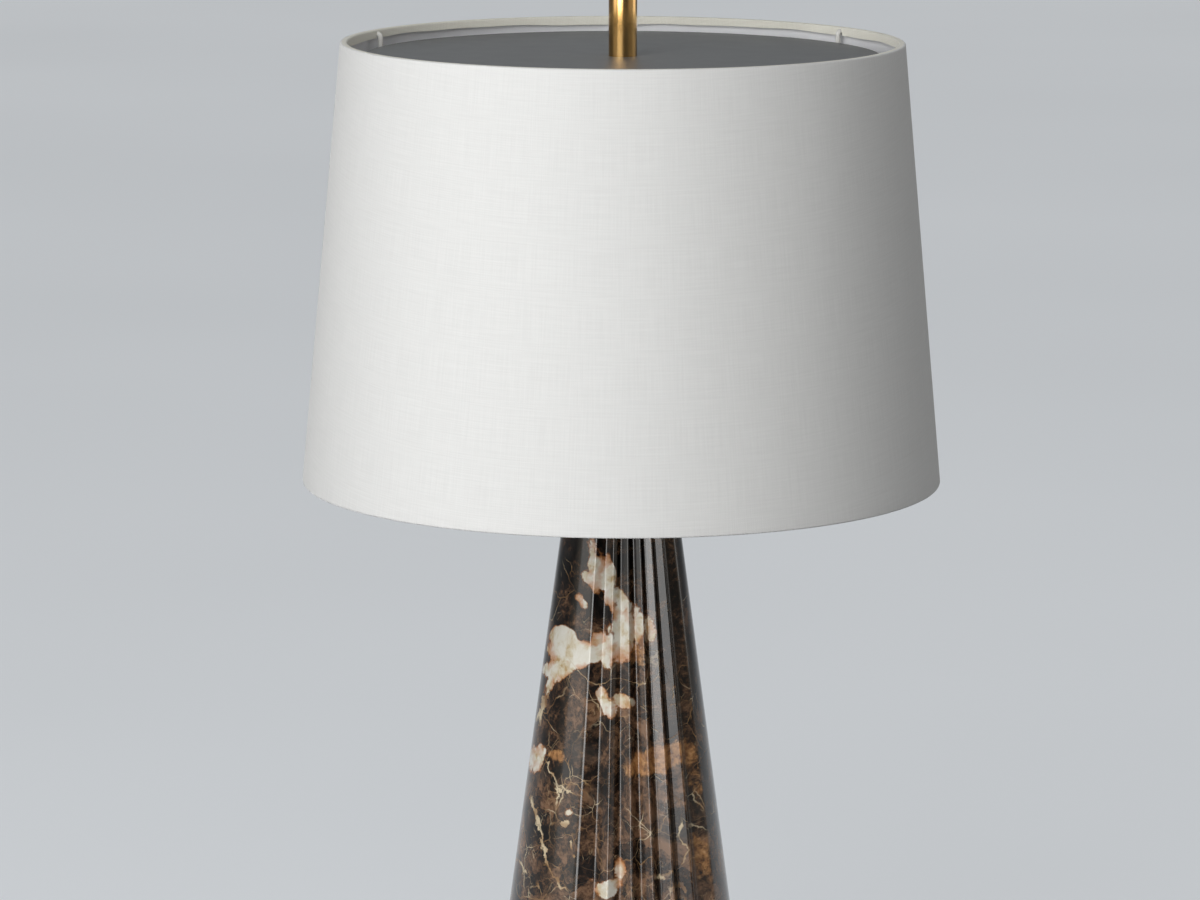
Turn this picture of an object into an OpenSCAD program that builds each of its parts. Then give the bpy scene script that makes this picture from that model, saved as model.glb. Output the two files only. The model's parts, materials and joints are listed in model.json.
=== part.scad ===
// Table lamp: a fluted stone cone, a brass neck and lampholder, a detachable wire harp,
// a tapered linen shade on a three-arm spider, a frosted top diffuser and a long brass finial.
// Millimetres. +Z is up, the origin is on the table under the middle of the base, and the
// front of the lamp faces -Y. Angles in plan run from the front towards +X.

/* [Stone body] */
// Height of the stone cone
body_h = 454.5; // [420:0.5:490]
// Diameter of the stone cone at its foot
body_foot_d = 187; // [170:1:205]
// Diameter of the stone cone at its top
body_top_d = 64; // [60:1:76]
// Depth of the flutes at the foot; they shrink with the cone
flute_depth = 9.5; // [4:0.5:10]
// Chamfer on the foot and top edges
body_edge = 1.2; // [0.5:0.1:3]
// Bore through the stone for the centre pipe
body_bore_d = 12; // [11:0.5:16]
// Diameter of the pocket under the stone
pocket_d = 76; // [60:1:100]
// Depth of the pocket under the stone
pocket_h = 26; // [24:1:34]
// Thickness of the felt pad
felt_h = 2.5; // [1.5:0.5:5]
// How far the felt stops short of the foot's edge
felt_inset = 3; // [1:0.5:8]

/* [Cord inlet] */
// Height of the inlet above the stone's foot
inlet_h = 13; // [12:0.5:15]
// Bore of the inlet bushing
bushing_bore_d = 7.4; // [6:0.1:8.5]
// Outside diameter of the bushing's barrel
bushing_d = 11; // [10:0.5:12]
// Length of the bushing's barrel inside the stone
bushing_l = 14; // [10:1:20]
// Diameter of the bushing's flange
bushing_flange_d = 16; // [14:0.5:18]
// Thickness of the bushing's flange
bushing_flange_h = 2.5; // [1.5:0.5:4]

/* [Pipe and clamping hardware] */
// Outside diameter of the threaded centre pipe
pipe_d = 10; // [9:0.5:10.5]
// Bore of the centre pipe
pipe_bore_d = 7; // [6:0.5:7.5]
// Length of pipe that stands below the nut
pipe_tail = 4; // [2:1:6]
// Diameter of the plain washer in the pocket
washer_d = 44; // [30:1:56]
// Thickness of the plain washer
washer_h = 3; // [2:0.5:4]
// Diameter of the lock washer
lock_washer_d = 18; // [16:1:24]
// Thickness of the lock washer
lock_washer_h = 1.2; // [0.8:0.1:2]
// Width across the flats of the hex nut
nut_af = 17; // [16:1:22]
// Thickness of the hex nut
nut_h = 6; // [4:1:8]

/* [Neck] */
// Diameter of the cork washer
cork_d = 46; // [36:1:50]
// Thickness of the cork washer
cork_h = 1.5; // [1:0.5:3]
// Diameter of the brass neck cap
neck_cap_d = 52; // [44:1:54]
// Height of the brass neck cap
neck_cap_h = 6; // [4:0.5:10]
// Diameter of the collar above the cap
collar_d = 18; // [16:1:22]
// Height of the collar above the cap
collar_h = 10; // [8:1:16]

/* [Harp] */
// Height from the underside of the saddle to the harp's shoulder
harp_h = 234.3; // [228:0.1:250]
// Half of the harp's greatest width, to the middle of the wire
harp_half_w = 58; // [52:1:64]
// Diameter of the harp wire
harp_wire_d = 3.4; // [3:0.1:4]
// Radius of the harp's upper corners
harp_top_r = 50; // [44:1:50]
// Distance between the outer faces of the saddle's ears
saddle_w = 60; // [54:1:66]
// Width of the saddle strip
saddle_strip_w = 12; // [12:0.5:14]
// Thickness of the saddle strip
saddle_t = 1.6; // [1.2:0.1:2]
// Height of the saddle's ears
ear_h = 28; // [26:1:32]
// Width of an ear's narrow tongue and of a harp foot
tongue_w = 8; // [6:0.5:9]
// Thickness of a harp foot
foot_t = 2; // [1.5:0.1:2.5]
// Height of a locking ferrule
ferrule_h = 10; // [8:1:11]
// Wall of a locking ferrule
ferrule_wall = 0.8; // [0.6:0.1:1.2]
// Diameter of the harp's threaded stud
stud_d = 6.2; // [5.5:0.1:6.4]
// Length of the stud above the shoulder
stud_l = 15; // [13:1:17]
// Diameter of the harp's shoulder
shoulder_d = 16; // [13:1:20]
// Thickness of the harp's shoulder
shoulder_h = 2; // [1.5:0.5:3]

/* [Lampholder] */
// Outside diameter of the brass lampholder cap
holder_cap_d = 33.6; // [33:0.1:36]
// Height of the brass lampholder cap
holder_cap_h = 16; // [15:0.5:18]
// Outside diameter of the brass lampholder shell
holder_shell_d = 31.4; // [31.2:0.1:31.5]
// Height of the lampholder shell above its cap
holder_shell_h = 42; // [41:1:46]
// Diameter of the switch knob
knob_d = 13; // [10:1:16]
// Length of the switch knob
knob_l = 10; // [8:1:14]
// Diameter of the switch shaft
shaft_d = 4; // [3:0.5:5]

/* [Bulb] */
// Diameter of the bulb's globe
globe_d = 60; // [56:1:64]
// Outside diameter of the bulb's screw cap
screw_d = 26.4; // [26:0.1:26.4]
// Pitch of the bulb's thread
screw_pitch = 3.6; // [3:0.1:4]
// Wall of the bulb's globe
globe_wall = 1.2; // [0.8:0.1:2]

/* [Shade] */
// Diameter of the shade at its top
shade_top_d = 355.6; // [340:0.2:370]
// Diameter of the shade at its bottom
shade_bottom_d = 406.4; // [396:0.2:430]
// Height of the shade
shade_h = 279.4; // [262:0.2:285]
// Thickness of the linen
linen_t = 0.7; // [0.5:0.1:1]
// Thickness of the stiff liner behind the linen
liner_t = 0.8; // [0.5:0.1:1.2]
// Diameter of the shade's ring wires
ring_d = 2.6; // [2:0.2:3.4]
// Height of the hem folded inside the rims
hem_h = 6; // [5:0.5:10]
// Diameter of the spider's arms
arm_d = 3.2; // [2.4:0.2:3.6]
// Diameter of the spider's hub
hub_d = 30; // [24:1:40]
// Depth of the diffuser's face below the shade's top edge
diffuser_drop = 9.2; // [9:0.1:14]
// Diameter of the diffuser
diffuser_d = 326; // [310:1:330]
// Thickness of the diffuser
diffuser_t = 3; // [2:0.5:5]

/* [Finial] */
// Diameter of the finial
finial_d = 18; // [16:0.5:22]
// Length of the finial
finial_l = 75; // [50:1:110]
// Wall of the finial's tube
finial_wall = 1.2; // [0.8:0.1:2]
// Chamfer round the finial's top
finial_edge = 1; // [0.5:0.1:1.5]

/* [Hidden] */
$fn = 96;

// Clearances: a push fit, a running fit, a loose fit, and the reach of a cut past a face
push = 0.05;
running = 0.08;
loose = 0.3;
past = 1;

brass = "#b48a45";
steel = "#a9abad";
black = "#242322";
off_white = "#e6e5e0";

// Flutes: where the first ridge stands, and how wide each flute is cut, in degrees.
// The same band of flutes is cut at the front and at the back.
first_ridge = -24;
flute_spans = [17, 13.2, 12, 12, 13.2, 17];
flute_bands = [0, 180];

// Heights, stacked from the table up
body_z = felt_h;
body_top_z = body_z + body_h;
cork_z = body_top_z;
neck_cap_z = cork_z + cork_h;
collar_z = neck_cap_z + neck_cap_h;
saddle_z = collar_z + collar_h;
holder_z = saddle_z + saddle_t;
shoulder_z = saddle_z + harp_h;
hub_z = shoulder_z;
hub_h = arm_d + 2 * running;
diffuser_z = hub_z + hub_h;
finial_z = diffuser_z + diffuser_t;
shade_top_z = finial_z + diffuser_drop;
shade_z = shade_top_z - shade_h;

// Stone cone
foot_r = body_foot_d / 2;
top_r = body_top_d / 2;
taper = (foot_r - top_r) / body_h;
apex_h = foot_r / taper;
valley_share = 1 - flute_depth / foot_r;
ceiling_z = body_z + pocket_h;
washer_z = ceiling_z - washer_h;
lock_washer_z = washer_z - lock_washer_h;
nut_z = lock_washer_z - nut_h;
pipe_z = nut_z - pipe_tail;

// Cord inlet at the back: a flat is sunk through the flutes, and the bushing seats on it
inlet_z = body_z + inlet_h;
spot_r = bushing_flange_d / 2 + 1;
seat_y = (foot_r - taper * (inlet_h + spot_r)) * valley_share - past;
channel_r = bushing_d / 2 + push;

// Lampholder, from its cap up
cap_wall = 1;
holder_hub_h = 4;
holder_neck_h = 10;
holder_rim_z = holder_z + holder_cap_h;
pipe_top_z = holder_z + 6;
shell_wall = 0.8;
shell_r = holder_shell_d / 2;
shell_top_z = holder_rim_z + holder_shell_h;
sleeve_r = shell_r - shell_wall - running;
sleeve_t = 0.5;
switch_z = holder_z + holder_neck_h + cap_wall + push;
switch_r = sleeve_r - sleeve_t - running;
switch_h = 22;
screw_z = switch_z + switch_h;
shell_metal = 0.4;
screw_shell_h = shell_top_z - 2 - screw_z;
thread_z = screw_z + 3;
contact_h = 2.4;
shaft_z = holder_rim_z + 6;
shaft_in = 9;
knob_y = shell_r + 8;
terminal_z = switch_z + 10;
terminal_head_r = 3;
terminal_head_h = 1.6;
terminal_y = 5;

// Bulb, from its tip up
thread_depth = 0.8;
tip_r = 4.5;
tip_z = screw_z + contact_h + running;
tip_h = 1.5;
insulator_z = tip_z + tip_h;
insulator_h = 4;
cap_z = insulator_z + insulator_h;
cap_h = max(20, shell_top_z + 2 - cap_z);
housing_z = cap_z + cap_h;
housing_h = 30;
globe_r = globe_d / 2;
globe_z = housing_z + housing_h;
globe_seat_r = globe_r - 1.5;
globe_up = sqrt(globe_r * globe_r - globe_seat_r * globe_seat_r);
board_h = 1.6;

// Harp: each leg leaves its foot upright, bows out by bow degrees, comes back upright at
// the greatest width and turns in over the top
ear_bend = 4;
ear_shoulder = 16;
ear_face = saddle_w / 2;
foot_face = ear_face + push * 4;
leg_x = foot_face + harp_wire_d / 2 + push;
foot_low = 6;
foot_seat = ear_h + running;
foot_top = foot_seat + foot_t;
weld_l = 6;
leg_up = foot_top + 16;
bow = 40;
bow_in_r = 30;
bow_out_r = 50;
bow_run = (harp_half_w - leg_x - (bow_in_r + bow_out_r) * (1 - cos(bow))) / sin(bow);
clamp_h = 7;
clamp_r = 5;
bar_h = harp_h - shoulder_h - clamp_h / 2;
ferrule_z = saddle_z + ear_shoulder + loose;

// Shade: radii at a height, and the skins from the outside in
shade_slope = (shade_bottom_d - shade_top_d) / 2 / shade_h;
fold_t = linen_t;
ring_in = linen_t + liner_t + push;
ring_r_top = rim_r(shade_h - fold_t - ring_d / 2) - ring_in - ring_d / 2;
ring_r_bottom = rim_r(fold_t + ring_d / 2) - ring_in - ring_d / 2;
hem_in_top = ring_r_top - ring_d / 2 - push;
hem_in_bottom = ring_r_bottom - ring_d / 2 - push;

// Spider arms: under the diffuser, up past its edge and out against the top ring
arm_angles = [5.2, 125.2, 245.2];
arm_bend = 3;
arm_top_bend = 2.5;
arm_axis_z = hub_z + hub_h / 2;
arm_end_r = ring_r_top - ring_d / 2 - push;
arm_end_z = shade_top_z - fold_t - 3 * push - arm_d / 2;
riser_r = arm_end_r - arm_top_bend;
ring_z_top = shade_top_z - fold_t - ring_d / 2;
ring_z_bottom = shade_z + fold_t + ring_d / 2;
stud_hole_r = stud_d / 2 + loose + 0.2;

// Finial
insert_h = 14;
insert_bore_h = 12;
end_plug_h = 5;

// Radius of the shade's outer face at height h above its bottom edge
function rim_r(h) = shade_bottom_d / 2 - shade_slope * h;

// A point on a circle of radius r at plan angle a from the front
function plan(r, a) = [r * sin(a), -r * cos(a)];

// Angle of ridge i of the flutes
function ridge(i) = i == 0 ? first_ridge : ridge(i - 1) + flute_spans[i - 1];

// A tube from z0 up
module tube(r_out, r_in, h) {
    difference() {
        cylinder(r = r_out, h = h);
        translate([0, 0, -past]) cylinder(r = r_in, h = h + 2 * past);
    }
}

// A conical skin of the shade: d_out and d_in are its depths behind the outer face
module skin(d_out, d_in, h0, h1) {
    translate([0, 0, shade_z]) rotate_extrude()
        polygon([[rim_r(h0) - d_in, h0], [rim_r(h0) - d_out, h0],
            [rim_r(h1) - d_out, h1], [rim_r(h1) - d_in, h1]]);
}

// A bend of wire in the XZ plane: it starts upright at the origin and turns by a degrees
// towards +X on radius r
module wire_bend(r, a, wire_d) {
    translate([r, 0, 0]) mirror([1, 0, 0]) rotate([90, 0, 0])
        rotate_extrude(angle = a) translate([r, 0]) circle(d = wire_d);
}

// One V-shaped flute, a pyramid whose edges all meet at the cone's apex
module flute(a0, a1) {
    below = 2 * past;
    share = (apex_h + below) / apex_h;
    reach = 1.4;
    valley = plan(foot_r * valley_share * share, (a0 + a1) / 2);
    left = valley + reach * (plan(foot_r * share, a0) - valley);
    right = valley + reach * (plan(foot_r * share, a1) - valley);
    polyhedron(
        points = [[valley.x, valley.y, -below], [left.x, left.y, -below],
            [right.x, right.y, -below], [0, 0, apex_h]],
        faces = [[0, 1, 2], [0, 3, 1], [1, 3, 2], [2, 3, 0]]);
}

module felt_pad() {
    color("#3a3f3a") cylinder(r = foot_r - felt_inset, h = felt_h);
}

module stone_body() {
    color("#4a3527") translate([0, 0, body_z]) difference() {
        rotate_extrude() polygon([[0, 0], [foot_r - body_edge, 0],
            [foot_r - taper * body_edge, body_edge],
            [top_r + taper * body_edge, body_h - body_edge], [top_r - body_edge, body_h],
            [0, body_h]]);
        for (band = flute_bands, i = [0 : len(flute_spans) - 1])
            flute(band + ridge(i), band + ridge(i + 1));
        translate([0, 0, -past]) cylinder(d = body_bore_d, h = body_h + 2 * past);
        translate([0, 0, -past]) cylinder(d = pocket_d, h = pocket_h + past);
        translate([0, 0, inlet_h]) rotate([-90, 0, 0]) {
            cylinder(r = channel_r, h = foot_r + past);
            translate([0, 0, seat_y]) cylinder(r = spot_r, h = foot_r);
        }
    }
}

module centre_pipe() {
    color(steel) translate([0, 0, pipe_z]) tube(pipe_d / 2, pipe_bore_d / 2, pipe_top_z - pipe_z);
}

module base_washer() {
    color(steel) translate([0, 0, washer_z]) tube(washer_d / 2, pipe_d / 2 + loose, washer_h);
}

module lock_washer() {
    color(steel) translate([0, 0, lock_washer_z])
        tube(lock_washer_d / 2, pipe_d / 2 + loose, lock_washer_h);
}

module base_nut() {
    color(brass) translate([0, 0, nut_z]) difference() {
        cylinder(d = nut_af / cos(30), h = nut_h, $fn = 6);
        translate([0, 0, -past]) cylinder(r = pipe_d / 2 + push, h = nut_h + 2 * past);
    }
}

module cord_bushing() {
    color(black) translate([0, seat_y, inlet_z]) rotate([-90, 0, 0]) difference() {
        union() {
            translate([0, 0, -bushing_l]) cylinder(d = bushing_d, h = bushing_l);
            cylinder(d = bushing_flange_d, h = bushing_flange_h);
        }
        translate([0, 0, -bushing_l - past])
            cylinder(d = bushing_bore_d, h = bushing_l + bushing_flange_h + 2 * past);
    }
}

module cork_washer() {
    color("#9c7a55") translate([0, 0, cork_z]) tube(cork_d / 2, body_bore_d / 2, cork_h);
}

// Turned cap: a short upright edge, a quarter-round shoulder and a flat for the collar
module neck_cap() {
    edge_h = neck_cap_h / 3;
    round_h = neck_cap_h - edge_h;
    flat_r = collar_d / 2 + 3;
    round_w = neck_cap_d / 2 - flat_r;
    color(brass) translate([0, 0, neck_cap_z]) rotate_extrude()
        polygon(concat([[pipe_d / 2 + push, 0], [neck_cap_d / 2, 0]],
            [for (a = [0 : 10 : 90]) [flat_r + round_w * cos(a), edge_h + round_h * sin(a)]],
            [[pipe_d / 2 + push, neck_cap_h]]));
}

// Turned collar with a bead round its middle
module neck_collar() {
    bead = 1.4;
    color(brass) translate([0, 0, collar_z]) rotate_extrude()
        polygon(concat([[pipe_d / 2 + push, 0], [collar_d / 2, 0]],
            [for (a = [-90 : 15 : 90])
                [collar_d / 2 + bead * cos(a), collar_h / 2 + bead * sin(a)]],
            [[collar_d / 2, collar_h], [pipe_d / 2 + push, collar_h]]));
}

// U-shaped strip; each ear narrows to a tongue that the ferrule locks round
module harp_saddle() {
    shoulder_cut = saddle_strip_w;
    color(steel) translate([0, 0, saddle_z]) difference() {
        union() {
            for (side = [-1, 1]) {
                translate([side * (ear_face - ear_bend), saddle_strip_w / 2, ear_bend])
                    rotate([90, 0, 0]) intersection() {
                        tube(ear_bend, ear_bend - saddle_t, saddle_strip_w);
                        translate([side > 0 ? 0 : -ear_bend, -ear_bend, 0])
                            cube([ear_bend, ear_bend, saddle_strip_w]);
                    }
                translate([side > 0 ? ear_face - saddle_t : -ear_face,
                    -saddle_strip_w / 2, ear_bend])
                    cube([saddle_t, saddle_strip_w, ear_h - ear_bend]);
            }
            translate([ear_bend - ear_face, -saddle_strip_w / 2, 0])
                cube([2 * (ear_face - ear_bend), saddle_strip_w, saddle_t]);
        }
        translate([0, 0, -past]) cylinder(r = pipe_d / 2 + push, h = saddle_t + 2 * past);
        for (side = [-1, 1])
            translate([-ear_face - past, side > 0 ? tongue_w / 2 : -tongue_w / 2 - shoulder_cut,
                ear_shoulder])
                cube([2 * (ear_face + past), shoulder_cut, ear_h]);
    }
}

// Drawn brass cup that screws on the pipe
module holder_cap() {
    r = holder_cap_d / 2;
    hub_r = pipe_d / 2 + 3;
    color(brass) translate([0, 0, holder_z]) rotate_extrude()
        polygon([[pipe_d / 2 + push, 0], [hub_r, 0], [hub_r, holder_hub_h - cap_wall],
            [r - 1, holder_neck_h], [r, holder_neck_h + 2], [r, holder_cap_h],
            [r - cap_wall, holder_cap_h], [r - cap_wall, holder_neck_h + 2],
            [r - 1 - cap_wall, holder_neck_h + cap_wall], [hub_r, holder_hub_h + cap_wall],
            [pipe_d / 2 + push, holder_hub_h + cap_wall]]);
}

module shaft_way(r) {
    translate([0, 0, shaft_z]) rotate([90, 0, 0]) cylinder(r = r, h = shell_r + past);
}

module holder_shell() {
    low = holder_z + holder_neck_h + 2 + running;
    color(brass) difference() {
        translate([0, 0, low]) tube(shell_r, shell_r - shell_wall, shell_top_z - low);
        shaft_way(shaft_d / 2 + loose);
    }
}

module insulating_sleeve() {
    low = holder_rim_z - 3;
    color("#cdbd9c") difference() {
        translate([0, 0, low]) tube(sleeve_r, sleeve_r - sleeve_t, shell_top_z - 1 - low);
        shaft_way(shaft_d / 2 + loose);
    }
}

module terminal_place() {
    for (side = [-1, 1]) translate([side * switch_r, terminal_y, terminal_z])
        rotate([0, -90 * side, 0]) children();
}

module switch_body() {
    color(black) difference() {
        translate([0, 0, switch_z]) cylinder(r = switch_r, h = switch_h);
        translate([0, -shaft_in + push, shaft_z]) rotate([90, 0, 0])
            cylinder(r = shaft_d / 2 + running, h = switch_r);
        terminal_place() translate([0, 0, -past])
            cylinder(r = terminal_head_r + loose, h = past + 4);
        terminal_place() cylinder(r = 1.5 + push, h = 9);
    }
}

module terminal_screws() {
    color(brass) terminal_place() {
        translate([0, 0, 4 - terminal_head_h]) difference() {
            cylinder(r = terminal_head_r, h = terminal_head_h);
            translate([-terminal_head_r, -0.4, -past]) cube([2 * terminal_head_r, 0.8, past + 0.7]);
        }
        translate([0, 0, 4]) cylinder(r = 1.5, h = 4.5);
    }
}

// Outline of a knuckle thread: radius r at the crests, over height h, starting at height z0
function thread_line(r, z0, h) = [for (i = [0 : 6 * floor(h / screw_pitch)])
    [r - thread_depth * (1 - cos(i * 60)) / 2, z0 + i * screw_pitch / 6]];
function reversed(list) = [for (i = [len(list) - 1 : -1 : 0]) list[i]];

module screw_shell() {
    r = screw_d / 2 + loose;
    low = thread_z - screw_z;
    inner = thread_line(r, low, screw_shell_h - low);
    outer = [for (p = inner) [p.x + shell_metal, p.y]];
    color("#b9a878") translate([0, 0, screw_z]) rotate_extrude()
        polygon(concat([[tip_r + 1.5, 0], [r + shell_metal, 0]], outer,
            reversed(inner), [[r, shell_metal], [tip_r + 1.5, shell_metal]]));
}

module centre_contact() {
    leaf_w = 5;
    color(brass) translate([0, 0, screw_z]) {
        translate([-leaf_w / 2, -leaf_w / 2, 0]) cube([leaf_w, leaf_w, 0.6]);
        translate([-leaf_w / 2, leaf_w / 2 - 0.6, 0]) cube([leaf_w, 0.6, contact_h]);
        translate([-leaf_w / 2, -leaf_w / 2, contact_h - 0.6]) cube([leaf_w, leaf_w, 0.6]);
    }
}

module switch_shaft() {
    color(steel) translate([0, -shaft_in, shaft_z]) rotate([90, 0, 0])
        cylinder(d = shaft_d, h = knob_y + knob_l - 2 - shaft_in);
}

// Moulded knob with finger grooves
module switch_knob() {
    grooves = 10;
    groove_r = knob_d / 12;
    color(black) translate([0, -knob_y, shaft_z]) rotate([90, 0, 0]) difference() {
        union() {
            cylinder(d = knob_d, h = knob_l - 1);
            translate([0, 0, knob_l - 1]) cylinder(d1 = knob_d, d2 = knob_d - 2, h = 1);
        }
        translate([0, 0, -past]) cylinder(d = shaft_d + 2 * push, h = knob_l - 2 + past);
        for (i = [0 : grooves - 1]) rotate([0, 0, i * 360 / grooves])
            translate([knob_d / 2 + groove_r / 3, 0, 2])
                cylinder(r = groove_r, h = knob_l, $fn = 24);
    }
}

module bulb_contact() {
    color(steel) translate([0, 0, tip_z]) cylinder(r1 = tip_r - 1, r2 = tip_r, h = tip_h);
}

module bulb_insulator() {
    color(black) translate([0, 0, insulator_z])
        cylinder(r1 = tip_r, r2 = screw_d / 2 - 2, h = insulator_h);
}

// The cap's thread keeps in step with the screw shell's
module bulb_cap() {
    r = screw_d / 2;
    low = thread_z + screw_pitch * ceil((cap_z + 1.5 - thread_z) / screw_pitch) - cap_z;
    color(steel) translate([0, 0, cap_z]) rotate_extrude()
        polygon(concat([[0, 0], [r - 2, 0], [r - thread_depth, 1]],
            thread_line(r, low, cap_h - low),
            [[r - thread_depth, cap_h], [0, cap_h]]));
}

// Flared plastic housing, a quarter of a sine wave from the cap out to the globe
module bulb_housing() {
    low_r = screw_d / 2 + 0.4;
    color(off_white) translate([0, 0, housing_z]) rotate_extrude()
        polygon(concat([[0, 0]], [for (i = [0 : 12])
            [low_r + (globe_seat_r - low_r) * sin(i * 7.5), housing_h * i / 12]],
            [[0, housing_h]]));
}

module led_board() {
    leds = 8;
    led = [3, 3, 1];
    sunk = 0.2;
    color("white") translate([0, 0, globe_z]) {
        cylinder(r = globe_r - 10, h = board_h);
        for (i = [0 : leds - 1]) rotate([0, 0, i * 360 / leds])
            translate([globe_r - 15, -led.y / 2, board_h - sunk]) cube(led);
    }
}

module bulb_globe() {
    color([0.95, 0.95, 0.93]) translate([0, 0, globe_z + globe_up]) difference() {
        sphere(r = globe_r);
        sphere(r = globe_r - globe_wall);
        translate([-globe_r, -globe_r, -globe_r * 2 - globe_up])
            cube([globe_d, globe_d, globe_r * 2]);
    }
}

// A straight run of the harp's wire from the origin up. It is drawn a little thinner than
// the bends, and runs into the one at each end.
module harp_run(l) {
    overlap = 1;
    translate([0, 0, -overlap]) cylinder(d = harp_wire_d - 2 * push, h = l + 2 * overlap);
}

// Half of the harp; its foot hooks over an ear of the saddle
module harp_leg() {
    out_z = leg_up + bow_in_r * sin(bow);
    out_x = leg_x + bow_in_r * (1 - cos(bow));
    side_z = out_z + bow_run * cos(bow) + bow_out_r * sin(bow);
    side_top_z = bar_h - harp_top_r;
    translate([foot_face, -tongue_w / 2, foot_low]) cube([foot_t, tongue_w, foot_top - foot_low]);
    translate([ear_face - saddle_t, -tongue_w / 2, foot_seat])
        cube([foot_face + foot_t - ear_face + saddle_t, tongue_w, foot_t]);
    translate([leg_x, 0, foot_top - weld_l]) harp_run(leg_up - foot_top + weld_l);
    translate([leg_x, 0, leg_up]) wire_bend(bow_in_r, bow, harp_wire_d);
    translate([out_x, 0, out_z]) rotate([0, bow, 0]) harp_run(bow_run);
    translate([harp_half_w, 0, side_z]) rotate([0, 180, 0])
        wire_bend(bow_out_r, bow, harp_wire_d);
    translate([harp_half_w, 0, side_z]) harp_run(side_top_z - side_z);
    translate([harp_half_w, 0, side_top_z]) mirror([1, 0, 0])
        wire_bend(harp_top_r, 90, harp_wire_d);
}

module harp_wire() {
    bar_l = harp_half_w - harp_top_r;
    color(brass) translate([0, 0, saddle_z]) {
        harp_leg();
        mirror([1, 0, 0]) harp_leg();
        translate([-bar_l, 0, bar_h]) rotate([0, 90, 0]) harp_run(2 * bar_l);
    }
}

// Stud, shoulder and the clamp that the wire passes through
module harp_stud() {
    color(brass) translate([0, 0, saddle_z]) difference() {
        union() {
            translate([0, 0, bar_h - clamp_h / 2]) cylinder(r = clamp_r, h = clamp_h);
            translate([0, 0, harp_h - shoulder_h]) cylinder(d = shoulder_d, h = shoulder_h);
            translate([0, 0, harp_h]) cylinder(d = stud_d, h = stud_l);
        }
        translate([-shoulder_d, 0, bar_h]) rotate([0, 90, 0])
            cylinder(r = harp_wire_d / 2 + push, h = 2 * shoulder_d);
    }
}

// Sleeve round an ear's tongue and the harp's foot
module ferrule() {
    in_x = ear_face - saddle_t - loose;
    in_w = leg_x + harp_wire_d / 2 + loose - in_x;
    in_d = tongue_w + 2 * loose;
    translate([in_x + in_w / 2, 0, ferrule_z]) difference() {
        translate([-in_w / 2 - ferrule_wall, -in_d / 2 - ferrule_wall, 0])
            cube([in_w + 2 * ferrule_wall, in_d + 2 * ferrule_wall, ferrule_h]);
        translate([-in_w / 2, -in_d / 2, -past]) cube([in_w, in_d, ferrule_h + 2 * past]);
    }
}

module ferrule_right() {
    color(brass) ferrule();
}

module ferrule_left() {
    color(brass) rotate([0, 0, 180]) ferrule();
}

module spider_hub() {
    color(off_white) translate([0, 0, hub_z]) tube(hub_d / 2, stud_hole_r, hub_h);
}

// One arm along -Y from the hub to the top ring; grow thickens it to cut its way through a hem
module spider_arm(grow = 0) {
    d = arm_d + grow;
    up = arm_end_z - arm_axis_z - arm_bend - arm_top_bend;
    rotate([0, 0, -90]) translate([0, 0, arm_axis_z]) {
        translate([hub_d / 2, 0, 0]) rotate([0, 90, 0])
            cylinder(d = d, h = riser_r - arm_bend - hub_d / 2);
        translate([riser_r, 0, arm_bend]) rotate([180, 0, 0]) mirror([1, 0, 0])
            wire_bend(arm_bend, 90, d);
        translate([riser_r, 0, arm_bend]) cylinder(d = d, h = up);
        translate([riser_r, 0, arm_bend + up]) wire_bend(arm_top_bend, 90, d);
    }
}

// The slit in the top hem that lets an arm through
module arm_slit() {
    w = arm_d + 4 * push;
    low = shade_top_z - hem_h - past;
    spider_arm(4 * push);
    translate([-w / 2, -ring_r_top + ring_d / 2, low])
        cube([w, ring_d, arm_end_z - low]);
}

module spider_arms() {
    color(off_white) for (a = arm_angles) rotate([0, 0, a]) spider_arm();
}

module shade_top_ring() {
    color(off_white) translate([0, 0, ring_z_top]) rotate_extrude()
        translate([ring_r_top, 0]) circle(d = ring_d);
}

module shade_bottom_ring() {
    color(off_white) translate([0, 0, ring_z_bottom]) rotate_extrude()
        translate([ring_r_bottom, 0]) circle(d = ring_d);
}

module shade_liner() {
    color("#f2f1ee") skin(linen_t, linen_t + liner_t, fold_t, shade_h - fold_t);
}

module shade_linen() {
    color("#e9e8e4") skin(0, linen_t, fold_t, shade_h - fold_t);
}

// The linen folded over the top ring and down inside it, notched round the spider's arms
module shade_top_hem() {
    color("#e4e2da") difference() {
        translate([0, 0, shade_z]) rotate_extrude() polygon([
            [hem_in_top - fold_t, shade_h - hem_h], [hem_in_top, shade_h - hem_h],
            [hem_in_top, shade_h - fold_t], [rim_r(shade_h - fold_t), shade_h - fold_t],
            [rim_r(shade_h), shade_h], [hem_in_top - fold_t, shade_h]]);
        for (a = arm_angles) rotate([0, 0, a]) arm_slit();
    }
}

// The linen folded under the bottom ring and up inside it
module shade_bottom_hem() {
    color("#e4e2da") translate([0, 0, shade_z]) rotate_extrude() polygon([
        [hem_in_bottom - fold_t, 0], [rim_r(0), 0], [rim_r(fold_t), fold_t],
        [hem_in_bottom, fold_t], [hem_in_bottom, hem_h], [hem_in_bottom - fold_t, hem_h]]);
}

module diffuser_disc() {
    color("#6d6f70") translate([0, 0, diffuser_z]) tube(diffuser_d / 2, stud_hole_r, diffuser_t);
}

module finial_tube() {
    color(brass) translate([0, 0, finial_z]) difference() {
        union() {
            cylinder(d = finial_d, h = finial_l - finial_edge);
            translate([0, 0, finial_l - finial_edge])
                cylinder(d1 = finial_d, d2 = finial_d - 2 * finial_edge, h = finial_edge);
        }
        translate([0, 0, -past])
            cylinder(r = finial_d / 2 - finial_wall, h = finial_l + 2 * past);
    }
}

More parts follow.
